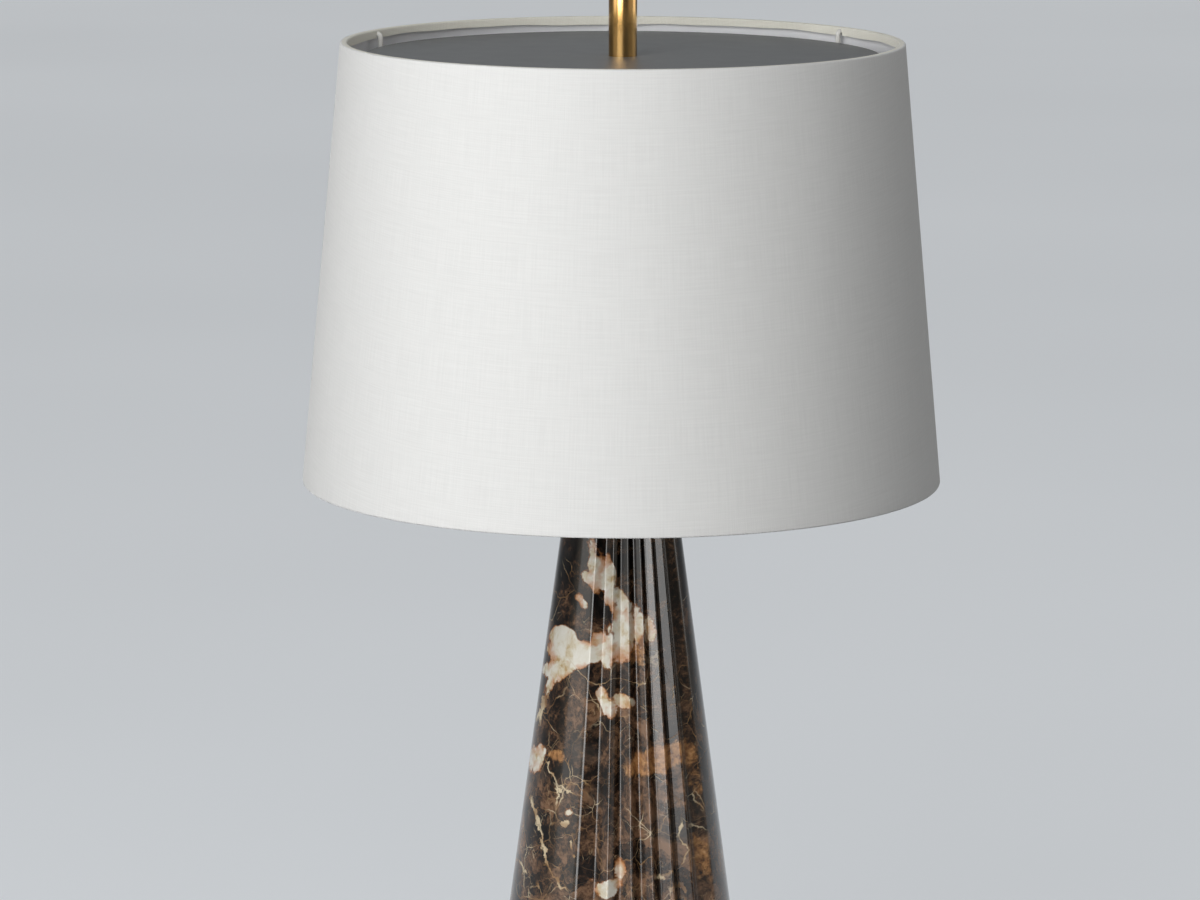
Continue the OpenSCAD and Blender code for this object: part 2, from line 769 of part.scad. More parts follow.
// Plug that is tapped for the harp's stud
module finial_insert() {
    color(brass) translate([0, 0, finial_z]) difference() {
        cylinder(r = finial_d / 2 - finial_wall - push, h = insert_h);
        translate([0, 0, -past]) cylinder(r = stud_d / 2 + running, h = insert_bore_h + past);
    }
}

module finial_cap() {
    color(brass) translate([0, 0, finial_z + finial_l - end_plug_h])
        cylinder(r = finial_d / 2 - finial_wall - push, h = end_plug_h - finial_edge / 2);
}

felt_pad();
stone_body();
centre_pipe();
base_washer();
lock_washer();
base_nut();
cord_bushing();
cork_washer();
neck_cap();
neck_collar();
harp_saddle();
holder_cap();
holder_shell();
insulating_sleeve();
switch_body();
screw_shell();
centre_contact();
terminal_screws();
switch_shaft();
switch_knob();
bulb_contact();
bulb_insulator();
bulb_cap();
bulb_housing();
led_board();
bulb_globe();
harp_wire();
harp_stud();
ferrule_left();
ferrule_right();
spider_hub();
spider_arms();
shade_top_ring();
shade_bottom_ring();
shade_liner();
shade_linen();
shade_top_hem();
shade_bottom_hem();
diffuser_disc();
finial_tube();
finial_insert();
finial_cap();
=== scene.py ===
"""Looks of a table lamp: polished brown marble cone, brass neck and finial, linen drum shade.

Sizes are in millimetres until a mesh is made, and every mesh is in metres, in the lamp's own
frame: +Z up, the table at 0, the front towards -Y, plan angles from the front towards +X.
"""
import json
import math

import bpy
import numpy as np
from mathutils import Matrix


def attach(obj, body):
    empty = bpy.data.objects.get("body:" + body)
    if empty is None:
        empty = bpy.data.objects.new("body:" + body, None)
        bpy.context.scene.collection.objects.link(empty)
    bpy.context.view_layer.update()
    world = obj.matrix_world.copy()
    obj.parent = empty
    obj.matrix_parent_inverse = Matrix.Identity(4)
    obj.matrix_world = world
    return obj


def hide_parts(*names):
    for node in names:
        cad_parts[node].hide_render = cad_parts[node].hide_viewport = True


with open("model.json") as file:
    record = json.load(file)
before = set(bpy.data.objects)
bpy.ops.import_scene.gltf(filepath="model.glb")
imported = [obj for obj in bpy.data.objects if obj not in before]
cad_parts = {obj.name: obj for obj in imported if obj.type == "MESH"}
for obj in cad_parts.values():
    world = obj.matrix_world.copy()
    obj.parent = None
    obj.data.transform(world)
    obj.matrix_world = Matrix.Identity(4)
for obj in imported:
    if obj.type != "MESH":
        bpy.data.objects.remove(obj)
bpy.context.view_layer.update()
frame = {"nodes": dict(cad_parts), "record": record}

MM = 0.001

# Stone cone: radii of its foot and top, their heights, its slope, and where its sides meet
FOOT_R, TOP_R, STONE_LOW, STONE_TOP = 93.5, 32.0, 2.5, 457.0
TAPER = (FOOT_R - TOP_R) / (STONE_TOP - STONE_LOW)
APEX = STONE_LOW + FOOT_R / TAPER
# Flutes: depth at the foot, a valley's share of the radius, the front ridges' plan angles, and
# as shares of the radius how far each corner is eased and how far past that its wall starts
FLUTE_DEPTH = 9.5
VALLEY = 1 - FLUTE_DEPTH / FOOT_R
RIDGES = -24 + np.cumsum([0, 17, 13.2, 12, 12, 13.2, 17])
EASED, PAST_EASING = 0.02, 0.004
# Rounding of the stone's two edges, and the angle in degrees over which its edges stay sharp
STONE_EDGE, STONE_SHARP = 1.2, 30.0
# Hollows: pocket in the foot, bore for the pipe, and the cord's way with its seat at the back
POCKET_R, POCKET_TOP, BORE_R = 38.0, 28.5, 6.0
INLET_Z, INLET_SEAT_Y, SEAT_R, CHANNEL_R = 15.5, 80.33, 9.0, 5.55
WAY_START, WAY_END = 30, 120

# Shade: heights and outer radii of its two edges, the cloth's thickness, the hems' depth and
# middle radii, and the plan angles of the three arms
SHADE_LOW, SHADE_TOP = 444.96, 724.36
SHADE_LOW_R, SHADE_TOP_R = 203.2, 177.8
SHADE_SLOPE = (SHADE_LOW_R - SHADE_TOP_R) / (SHADE_TOP - SHADE_LOW)
CLOTH, HEM, HEM_TOP_R, HEM_LOW_R = 0.7, 5.1, 173.43, 198.47
ARMS = (5.2, 125.2, 245.2)


# ---------------------------------------------------------------- meshes

def piece(name, points, faces, material, uv=None, sharp=35.0, values=None):
    """A mesh object from points in millimetres; edges sharper than the angle stay sharp.
    values are named numbers, one for each point, that the material reads."""
    mesh = bpy.data.meshes.new(name)
    mesh.from_pydata(np.asarray(points, float) * MM, [], faces)
    for label, numbers in (values or {}).items():
        mesh.attributes.new(label, "FLOAT", "POINT").data.foreach_set(
            "value", np.asarray(numbers, np.float32))
    if uv is not None:
        layer = mesh.uv_layers.new(name="cut")
        corners = np.zeros(len(mesh.loops), np.int32)
        mesh.loops.foreach_get("vertex_index", corners)
        layer.data.foreach_set("uv", uv.reshape(-1, 2)[: len(corners)].astype(np.float32).ravel())
    mesh.shade_smooth()
    mesh.set_sharp_from_angle(angle=math.radians(sharp))
    made = bpy.data.objects.new(name, mesh)
    bpy.context.scene.collection.objects.link(made)
    mesh.materials.append(material)
    return made


def net(rows, columns, round_rows=False):
    """Quads of a grid whose columns close on themselves; its rows may close as well.

    Quad (i, j) joins row i to row i + 1 and column j to column j + 1.
    """
    i = np.arange(rows if round_rows else rows - 1)[:, None]
    j = np.arange(columns)[None, :]
    here, right = i * columns + j, i * columns + (j + 1) % columns
    up = ((i + 1) % rows) * columns
    return np.stack([here, right, up + (j + 1) % columns, up + j], -1).reshape(-1, 4)


def turned(name, profile, material, steps=128):
    """A profile of (radius, height) turned round the lamp's axis.

    A point at plan angle a is (r sin a, -r cos a, h). A profile whose ends are on the axis is
    closed there by one point each, and any other profile is a loop.
    """
    profile = np.array(profile, float)
    a = np.linspace(0, 2 * np.pi, steps, endpoint=False)
    poles = profile[0, 0] < 1e-6 and profile[-1, 0] < 1e-6
    ring = profile[1:-1] if poles else profile
    grid = np.stack([ring[:, :1] * np.sin(a), -ring[:, :1] * np.cos(a),
                     np.repeat(ring[:, 1:], steps, 1)], -1).reshape(-1, 3)
    faces = net(len(ring), steps, not poles).tolist()
    if poles:
        low, high, j = len(grid), len(grid) + 1, np.arange(steps)
        last = (len(ring) - 1) * steps
        grid = np.vstack([grid, [0, 0, profile[0, 1]], [0, 0, profile[-1, 1]]])
        faces += np.stack([np.full(steps, low), (j + 1) % steps, j], 1).tolist()
        faces += np.stack([np.full(steps, high), last + j, last + (j + 1) % steps], 1).tolist()
    return piece(name, grid, faces, material)


def rounded(points, cuts, steps=6, loop=True):
    """A polygon whose corner k is rounded off over a length of cuts[k].

    Each corner becomes the curve (1-t)^2 A + 2t(1-t) C + t^2 B, where C is the corner and A
    and B lie on its two sides. A cut of 0 keeps the corner.
    """
    p, out = np.array(points, float), []
    t = np.linspace(0, 1, steps)[:, None]
    for k, cut in enumerate(cuts):
        c = p[k]
        if cut <= 0 or not loop and k in (0, len(p) - 1):
            out.append(c[None])
            continue
        a, b = p[k - 1] - c, p[(k + 1) % len(p)] - c
        a, b = c + cut * a / np.linalg.norm(a), c + cut * b / np.linalg.norm(b)
        out.append((1 - t) ** 2 * a + 2 * t * (1 - t) * c + t ** 2 * b)
    return np.vstack(out)


# ---------------------------------------------------------------- materials

def linear(code):
    """An sRGB hex colour as linear light, opaque."""
    c = np.array([int(code[i:i + 2], 16) for i in (1, 3, 5)]) / 255
    c = np.where(c <= 0.04045, c / 12.92, ((c + 0.055) / 1.055) ** 2.4)
    return (*[float(x) for x in c], 1.0)


def add(tree, kind, sockets=(), out=0, stops=None, **settings):
    """Adds one node with its settings, values and links, and returns one of its outputs."""
    node = tree.nodes.new("ShaderNode" + kind)
    for name, value in settings.items():
        setattr(node, name, value)
    for key, value in dict(sockets).items():
        if isinstance(value, bpy.types.NodeSocket):
            tree.links.new(value, node.inputs[key])
        else:
            node.inputs[key].default_value = value
    if stops:
        points = node.color_ramp.elements
        for k, (place, code) in enumerate(stops):
            point = points[k] if k < 2 else points.new(place)
            point.position, point.color = place, linear(code)
    return node.outputs[out]


def surface(name, build, **sockets):
    """A material with one principled shader. build(tree) gives its linked sockets, with the
    relief's height in millimetres under the key relief."""
    made = bpy.data.materials.new(name)
    made.use_nodes = True
    tree = made.node_tree
    tree.nodes.clear()
    links = build(tree)
    relief = links.pop("relief", None)
    if relief is not None:
        links["Normal"] = add(tree, "Bump", {"Height": relief, "Distance": MM, "Strength": 1.0})
    shader = add(tree, "BsdfPrincipled", {**sockets, **links})
    end = tree.nodes.new("ShaderNodeOutputMaterial")
    tree.links.new(shader, end.inputs["Surface"])
    return made


def grained(name, low, high, grain, rough, relief, detail=4.0, **sockets):
    """A finish whose colour runs between two hex colours and whose roughness runs between two
    values, after a noise with grains of the given (x, y, z) size in millimetres; relief is the
    height of its grain in millimetres."""
    def build(tree):
        place = add(tree, "TexCoord", out="Object")
        sized = add(tree, "Mapping", {"Vector": place, "Scale": [1 / (g * MM) for g in grain]})
        fine = add(tree, "TexNoise", {"Vector": sized, "Scale": 1.0, "Detail": detail}, out="Fac")
        cloud = add(tree, "TexNoise", {"Vector": place, "Scale": 60.0, "Detail": 2.0}, out="Fac")
        tone = add(tree, "Math", {0: fine, 1: cloud}, operation="ADD")
        half = add(tree, "Math", {0: tone, 1: 0.5}, operation="MULTIPLY")
        return {
            "Base Color": add(tree, "ValToRGB", {0: half}, stops=[(0.3, low), (0.7, high)]),
            "Roughness": add(tree, "MapRange", {0: half, 1: 0.3, 2: 0.7, 3: rough[0],
                                                4: rough[1]}),
            "relief": add(tree, "Math", {0: fine, 1: relief}, operation="MULTIPLY"),
        }
    return surface(name, build, **sockets)


# Ellipses on the stone's front, seen straight on: (x, z, tilt from +x in degrees, half length,
# half width), in millimetres. Cream patches first, then tan ones, then the veins and specks
# that are drawn one by one.
CREAM = [
    (-16.9, 394.0, -83, 16.1, 4.1), (-19.6, 386.1, -58, 5.5, 4.1), (-7.7, 386.0, -88, 15.8, 4.4),
    (-12.8, 383.8, -37, 6.6, 4.0), (-7.4, 375.4, -90, 6.7, 2.9), (0.8, 375.6, -50, 7.2, 2.3),
    (0.9, 354.4, -88, 19.2, 6.6), (-8.3, 342.7, -95, 13.5, 4.6), (11.0, 358.0, -88, 14.5, 3.9),
    (18.8, 354.6, -80, 8.3, 3.3), (-14.6, 348.1, -90, 5.8, 4.4), (-36.0, 345.0, -67, 9.6, 9.8),
    (-30.1, 338.6, 8, 16.7, 9.2), (-38.9, 327.1, 38, 13.6, 6.0), (-44.8, 319.5, 76, 11.5, 2.4),
    (-25.2, 371.9, -57, 4.7, 2.5), (-11.1, 311.7, -64, 7.6, 3.9), (1.0, 310.1, -15, 7.8, 4.6),
    (-7.2, 304.2, -90, 5.3, 4.4), (-54.1, 266.0, 66, 10.4, 4.5), (-32.8, 238.7, 9, 2.9, 2.5),
    (0.3, 203.9, -80, 6.8, 3.7), (-7.9, 191.7, 31, 9.3, 5.7), (-19.5, 196.3, 5, 2.9, 2.4),
]
TAN = [
    (11.1, 340.7, -90, 7.5, 4.2), (-40.2, 272.3, -7, 5.5, 3.6), (24.0, 272.0, 10, 22.0, 9.0),
    (44.1, 270.1, -75, 13.3, 4.6), (47.7, 252.0, -80, 13.1, 3.4), (52.0, 205.0, -80, 18.0, 5.0),
]
THREADS = [
    (-49.5, 300.6, 76, 13.0, 1.4), (-54.0, 232.4, -72, 10.5, 1.0), (-49.4, 213.1, -73, 14.5, 1.0),
    (-40.5, 195.0, -47, 10.5, 1.0), (-43.7, 261.4, -58, 8.5, 0.7), (-40.0, 247.9, -92, 8.0, 0.6),
    (-32.4, 251.7, -20, 8.5, 0.6), (-63.9, 195.4, -47, 4.0, 1.0), (38.1, 225.5, -112, 5.5, 0.7),
    (39.5, 217.1, -49, 5.0, 0.6), (40.8, 208.6, -118, 6.0, 0.7), (49.0, 224.4, -21, 5.5, 0.6),
    (-35.2, 231.4, -11, 2.6, 1.9), (-30.8, 217.8, -90, 2.1, 0.9), (-29.8, 211.2, 7, 1.4, 1.2),
    (26.1, 197.3, -25, 2.6, 1.3), (39.9, 187.7, -71, 4.6, 1.9),
]


def depth_inside(points, table, soft):
    """How deep each point lies inside a table's ellipses, in millimetres, below 0 outside.

    One ellipse gives (1 - |u, v|) times its smaller half width, where u and v are the place in
    its own half lengths; the ellipses join by a smooth maximum that eases over soft.
    """
    far_outside = -30.0
    depth = np.full(len(points), far_outside)
    for x, z, tilt, a, b in table:
        c, s = math.cos(math.radians(tilt)), math.sin(math.radians(tilt))
        along, across = points[:, 0] - x, points[:, 2] - z
        one = (1 - np.hypot((along * c + across * s) / a,
                            (across * c - along * s) / b)) * min(a, b)
        h = np.clip(0.5 + 0.5 * (one - depth) / soft, 0, 1)
        depth = depth * (1 - h) + one * h + soft * h * (1 - h)
    return depth


def moved(tree, start, noise, reach):
    """A place moved by a noise of -0.5 to 0.5 times a reach in millimetres."""
    return add(tree, "VectorMath", {0: noise, 1: (reach * MM,) * 3, 2: start},
               operation="MULTIPLY_ADD")


def marble(tree):
    """Dark breccia marble, sawn, honed and polished: brown and black fragments cemented by fine
    tan veins, with cream calcite patches that have rusty rims."""
    place = add(tree, "TexCoord", out="Object")
    # Coarse and fine drift, which bends the veins and frays the patches' outlines
    drift = add(tree, "TexNoise", {"Vector": place, "Scale": 28.0, "Detail": 3.0}, out="Color")
    drift = add(tree, "VectorMath", {0: drift, 1: (0.5,) * 3}, operation="SUBTRACT")
    fray = add(tree, "TexNoise", {"Vector": place, "Scale": 130.0, "Detail": 5.0,
                                  "Roughness": 0.6}, out="Color")
    fray = add(tree, "VectorMath", {0: fray, 1: (0.5,) * 3}, operation="SUBTRACT")
    bent = moved(tree, moved(tree, place, drift, 30.0), fray, 5.0)
    cracked = moved(tree, moved(tree, place, drift, 20.0), fray, 3.2)
    frayed = moved(tree, place, fray, 11.0)
    # 0 on the front half of the stone and 1 on the back half
    back = add(tree, "SeparateXYZ", {0: place}, out="Y")
    behind = add(tree, "MapRange", {0: back, 1: -0.002, 2: 0.004})

    # Depths inside the cream and tan patches, frayed by a few millimetres
    frays = add(tree, "SeparateXYZ", {0: fray}, out="X")
    cream = add(tree, "Attribute", attribute_name="cream", out="Fac")
    cream = add(tree, "Math", {0: frays, 1: 6.5, 2: cream}, operation="MULTIPLY_ADD")
    tan = add(tree, "Attribute", attribute_name="tan", out="Fac")
    tan = add(tree, "Math", {0: frays, 1: 7.0, 2: tan}, operation="MULTIPLY_ADD")
    # Depths inside the drawn veins, which run straight back and so are far longer along y
    threads, endless = None, 9.0
    for x, z, tilt, a, b in THREADS:
        at = add(tree, "Mapping", {
            "Vector": frayed, "Location": (x * MM, 0, z * MM),
            "Rotation": (0, -math.radians(tilt), 0), "Scale": (a * MM, endless, b * MM),
        }, vector_type="TEXTURE")
        far = add(tree, "VectorMath", {0: at}, out="Value", operation="LENGTH")
        one = add(tree, "Math", {0: far, 1: -b, 2: b}, operation="MULTIPLY_ADD")
        threads = one if threads is None else add(
            tree, "Math", {0: threads, 1: one}, operation="MAXIMUM")

    # The back has its own patches, which follow a coarse noise
    blobs = add(tree, "TexNoise", {"Vector": bent, "Scale": 17.0, "Detail": 1.5}, out="Fac")
    back_cream = add(tree, "MapRange", {0: blobs, 1: 0.0, 2: 1.0, 3: -33.0, 4: 17.5},
                     clamp=False)
    tan_cloud = add(tree, "TexNoise", {"Vector": frayed, "Scale": 21.0, "Detail": 2.0},
                    out="Fac")
    back_tan = add(tree, "MapRange", {0: tan_cloud, 1: 0.0, 2: 1.0, 3: -32.0, 4: 17.0},
                   clamp=False)
    cream = add(tree, "Mix", {0: behind, 2: cream, 3: back_cream})
    tan = add(tree, "Mix", {0: behind, 2: tan, 3: back_tan})
    threads = add(tree, "Mix", {0: behind, 2: threads, 3: -1.0})

    # Fragments: each cell of the breccia has its own tone
    tones = []
    for size in (17.0, 6.5):
        cell = add(tree, "TexVoronoi", {"Vector": cracked, "Scale": 1 / (size * MM),
                                        "Randomness": 1.0}, out="Color")
        tones.append(add(tree, "SeparateXYZ", {0: cell}, out="X"))
    cloud = add(tree, "TexNoise", {"Vector": bent, "Scale": 52.0, "Detail": 8.0,
                                   "Roughness": 0.72}, out="Fac")
    tone = add(tree, "Math", {0: tones[0], 1: 0.16, 2: cloud}, operation="MULTIPLY_ADD")
    tone = add(tree, "Math", {0: tones[1], 1: 0.14, 2: tone}, operation="MULTIPLY_ADD")
    speck = add(tree, "TexNoise", {"Vector": cracked, "Scale": 300.0, "Detail": 4.0,
                                   "Roughness": 0.75}, out="Fac")
    speck = add(tree, "MapRange", {0: speck, 1: 0.3, 2: 0.7, 3: -0.11, 4: 0.11})
    tone = add(tree, "Math", {0: tone, 1: speck}, operation="ADD")
    # The lower part is browner
    height = add(tree, "SeparateXYZ", {0: place}, out="Z")
    browner = add(tree, "MapRange", {0: height, 1: 0.42, 2: 0.18, 3: -0.03, 4: 0.09})
    tone = add(tree, "Math", {0: tone, 1: browner}, operation="ADD")
    ground = add(tree, "ValToRGB", {0: tone}, stops=[
        (0.5, "#090706"), (0.61, "#1b130e"), (0.69, "#38281d"), (0.77, "#5a4230"),
        (0.88, "#83634a")])
    # Grey, glassy fragments
    glass = add(tree, "TexNoise", {"Vector": bent, "Scale": 24.0, "Detail": 3.0}, out="Fac")
    glass = add(tree, "MapRange", {0: glass, 1: 0.56, 2: 0.63, 3: 0.0, 4: 0.55})
    ground = add(tree, "Mix", {0: glass, 6: ground, 7: linear("#3b3733")}, out=2,
                 data_type="RGBA")

    # Veins: the seams between fragments of three sizes, each open only here and there
    veins = None
    for size, width, low, high in ((34.0, 0.42, 0.5, 0.64), (14.0, 0.3, 0.57, 0.7),
                                   (6.0, 0.2, 0.62, 0.8)):
        edge = add(tree, "TexVoronoi", {"Vector": cracked, "Scale": 1 / (size * MM)},
                   feature="DISTANCE_TO_EDGE")
        line = add(tree, "MapRange", {0: edge, 1: 0.0, 2: width / size, 3: 1.0, 4: 0.0})
        shown = add(tree, "TexNoise", {"Vector": place, "Scale": 700.0 / size, "Detail": 2.0},
                    out="Fac")
        shown = add(tree, "Math", {0: browner, 1: 1.2, 2: shown}, operation="MULTIPLY_ADD")
        shown = add(tree, "MapRange", {0: shown, 1: low, 2: high})
        line = add(tree, "Math", {0: line, 1: shown}, operation="MULTIPLY")
        veins = line if veins is None else add(tree, "Math", {0: veins, 1: line},
                                               operation="MAXIMUM")
    drawn = add(tree, "MapRange", {0: threads, 1: -0.25, 2: 0.25})
    veins = add(tree, "Math", {0: veins, 1: drawn}, operation="MAXIMUM")
    vein_tone = add(tree, "TexNoise", {"Vector": place, "Scale": 60.0, "Detail": 2.0}, out="Fac")
    vein_tone = add(tree, "Math", {0: drawn, 1: 0.1, 2: vein_tone}, operation="MULTIPLY_ADD")
    vein_colour = add(tree, "ValToRGB", {0: vein_tone}, stops=[
        (0.35, "#5f422c"), (0.5, "#9c7950"), (0.66, "#dccaa8")])
    stone = add(tree, "Mix", {0: veins, 6: ground, 7: vein_colour}, out=2, data_type="RGBA")

    # Tan clouds, mottled and thin enough for the fragments to show through
    mottle = add(tree, "TexNoise", {"Vector": bent, "Scale": 210.0, "Detail": 5.0,
                                    "Roughness": 0.7}, out="Fac")
    tan_colour = add(tree, "ValToRGB", {0: mottle}, stops=[
        (0.3, "#573a24"), (0.45, "#9a6c43"), (0.6, "#c8945f"), (0.75, "#e0b98a")])
    tan_depth = add(tree, "Math", {0: mottle, 1: 6.0, 2: tan}, operation="MULTIPLY_ADD")
    tan_share = add(tree, "MapRange", {0: tan_depth, 1: 2.4, 2: 4.2, 3: 0.0, 4: 0.85})
    stone = add(tree, "Mix", {0: tan_share, 6: stone, 7: tan_colour}, out=2, data_type="RGBA")

    # Cream patches: a rusty rim about a millimetre wide, then calcite with faint tan clouds
    calcite = add(tree, "TexNoise", {"Vector": bent, "Scale": 95.0, "Detail": 6.0,
                                     "Roughness": 0.6}, out="Fac")
    cream_colour = add(tree, "ValToRGB", {0: calcite}, stops=[
        (0.34, "#bfa377"), (0.42, "#d8cbae"), (0.52, "#e6e1d2"), (0.7, "#efece2")])
    stain = add(tree, "TexNoise", {"Vector": bent, "Scale": 70.0, "Detail": 3.0}, out="Fac")
    stain = add(tree, "MapRange", {0: stain, 1: 0.45, 2: 0.56})
    near = add(tree, "MapRange", {0: cream, 1: 0.3, 2: 3.4, 3: 0.85, 4: 0.0})
    stain = add(tree, "Math", {0: stain, 1: near}, operation="MULTIPLY")
    cream_colour = add(tree, "Mix", {0: stain, 6: cream_colour, 7: linear("#c27a38")}, out=2,
                       data_type="RGBA")
    hair = add(tree, "Math", {0: veins, 1: 0.35}, operation="MULTIPLY")
    cream_colour = add(tree, "Mix", {0: hair, 6: cream_colour, 7: linear("#b08a58")}, out=2,
                       data_type="RGBA")
    rim = add(tree, "MapRange", {0: cream, 1: -0.5, 2: 0.0})
    stone = add(tree, "Mix", {0: rim, 6: stone, 7: linear("#855530")}, out=2, data_type="RGBA")
    core = add(tree, "MapRange", {0: cream, 1: 0.0, 2: 0.55})
    colour = add(tree, "Mix", {0: core, 6: stone, 7: cream_colour}, out=2, data_type="RGBA")

    # Polish: a little duller on calcite and in the veins, which the polisher also sinks
    soft = add(tree, "Math", {0: core, 1: veins}, operation="MAXIMUM")
    wave = add(tree, "TexNoise", {"Vector": place, "Scale": 110.0, "Detail": 2.0}, out="Fac")
    rough = add(tree, "MapRange", {0: soft, 3: 0.13, 4: 0.22})
    sunk = add(tree, "Math", {0: soft, 1: -0.02}, operation="MULTIPLY")
    relief = add(tree, "Math", {0: wave, 1: 0.025, 2: sunk}, operation="MULTIPLY_ADD")
    return {"Base Color": colour, "Roughness": rough, "relief": relief}


def linen(tone_low, tone_high):
    """Plain-weave linen: crossing threads with slubs, seen as faint upright and level streaks.

    The cloth's own threads are too fine to show, so the slubs' streaks and the weave's relief
    are drawn coarser. They follow the flat cut.
    """
    slub, slub_length, pitch = 1.1, 34.0, 1.4

    def build(tree):
        cut = add(tree, "UVMap", uv_map="cut")
        streaks = []
        for across, up in ((slub, slub_length), (slub_length, slub)):
            sized = add(tree, "Mapping", {"Vector": cut, "Scale": (1 / (across * MM),
                                                                   1 / (up * MM), 1)})
            streaks.append(add(tree, "TexNoise", {"Vector": sized, "Scale": 1.0, "Detail": 2.0},
                               out="Fac"))
        both = add(tree, "Math", {0: streaks[0], 1: streaks[1]}, operation="ADD")
        both = add(tree, "Math", {0: both, 1: 0.5}, operation="MULTIPLY")
        # This texture's bands are pi / 10 apart at scale 1, so here they are about 1 apart
        threads = []
        for direction in ("X", "Y"):
            sized = add(tree, "Mapping", {"Vector": cut, "Scale": (1 / (pitch * MM),) * 3})
            threads.append(add(tree, "TexWave", {"Vector": sized, "Scale": 1 / math.pi,
                                                 "Distortion": 0.6, "Detail": 1.0},
                               out="Fac", bands_direction=direction))
        weave = add(tree, "Math", {0: threads[0], 1: threads[1]}, operation="MULTIPLY")
        relief = add(tree, "Math", {0: both, 1: 0.05}, operation="MULTIPLY")
        relief = add(tree, "Math", {0: weave, 1: 0.03, 2: relief}, operation="MULTIPLY_ADD")
        return {
            "Base Color": add(tree, "ValToRGB", {0: both},
                              stops=[(0.36, tone_low), (0.64, tone_high)]),
            "relief": relief,
        }
    return build


def brushed(low, high, rough):
    """Brass brushed lengthwise and lacquered: fine upright scratches and a soft, warm gloss.
    The scratches' width, length and depth are in millimetres."""
    wide, long, deep = 0.25, 45.0, 0.0008

    def build(tree):
        place = add(tree, "TexCoord", out="Object")
        sized = add(tree, "Mapping", {"Vector": place, "Scale": (1 / (wide * MM), 1 / (wide * MM),
                                                                 1 / (long * MM))})
        scratch = add(tree, "TexNoise", {"Vector": sized, "Scale": 1.0, "Detail": 3.0}, out="Fac")
        cloud = add(tree, "TexNoise", {"Vector": place, "Scale": 45.0, "Detail": 2.0}, out="Fac")
        mixed = add(tree, "Mix", {0: 0.35, 2: scratch, 3: cloud})
        return {
            "Base Color": add(tree, "ValToRGB", {0: mixed}, stops=[(0.35, low), (0.65, high)]),
            "Roughness": add(tree, "MapRange", {0: scratch, 1: 0.3, 2: 0.7, 3: rough[0],
                                                4: rough[1]}),
            "relief": add(tree, "Math", {0: scratch, 1: deep}, operation="MULTIPLY"),
        }
    return build


